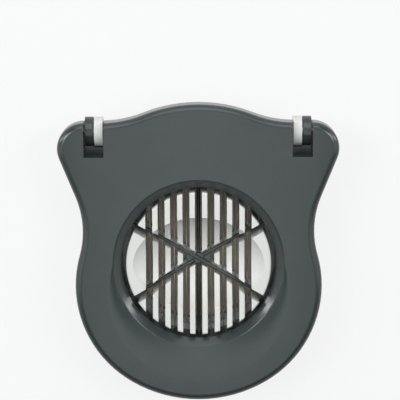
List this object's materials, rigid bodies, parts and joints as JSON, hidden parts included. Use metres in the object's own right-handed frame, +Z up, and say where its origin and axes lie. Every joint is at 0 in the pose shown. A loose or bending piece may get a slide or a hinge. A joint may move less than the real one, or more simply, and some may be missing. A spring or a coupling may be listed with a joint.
{
  "type": "egg slicer",
  "caption": "Hinged egg slicer and wedger: a slotted oval egg cradle under two wire frames that swing on one hinge line.",
  "frame": {"origin": "on the table, under the middle of the outline's length and width", "axes": "+X to the right across the hinge line, +Y from the front edge to the hinge, +Z up"},
  "size_m": [0.127, 0.1366, 0.03],
  "materials": {
    "white_plastic": "satin moulded white plastic",
    "dark_plastic": "satin moulded dark grey plastic",
    "wire_steel": "drawn stainless wire",
    "coated_steel": "steel wire in a smooth dark grey coat",
    "pin_steel": "ground stainless pin"
  },
  "bodies": {
    "base": {"base": "white_plastic"},
    "slicer": {"slice_frame": "dark_plastic", "slice_wire_ring": "dark_plastic", "slice_wire_1": "wire_steel", "slice_wire_2": "wire_steel", "slice_wire_3": "wire_steel", "slice_wire_4": "wire_steel", "slice_wire_5": "wire_steel", "slice_wire_6": "wire_steel", "slice_wire_7": "wire_steel", "slice_wire_8": "wire_steel", "slice_wire_9": "wire_steel"},
    "wedger": {"wedge_frame": "dark_plastic", "wedge_wire_ring": "dark_plastic", "wedge_wire_1": "coated_steel", "wedge_wire_2": "coated_steel", "wedge_wire_3": "coated_steel", "wedge_hub": "dark_plastic", "hinge_pin_left": "pin_steel", "hinge_pin_right": "pin_steel"}
  },
  "joints": [
    {"name": "slicer_hinge", "type": "hinge", "parent": "base", "child": "slicer", "pos_m": [0, 0.05534, 0.02], "axis": [-1, 0, 0], "range_deg": [0, 90]},
    {"name": "wedger_hinge", "type": "hinge", "parent": "slicer", "child": "wedger", "pos_m": [0, 0.05534, 0.02], "axis": [-1, 0, 0], "range_deg": [0, 90]}
  ]
}
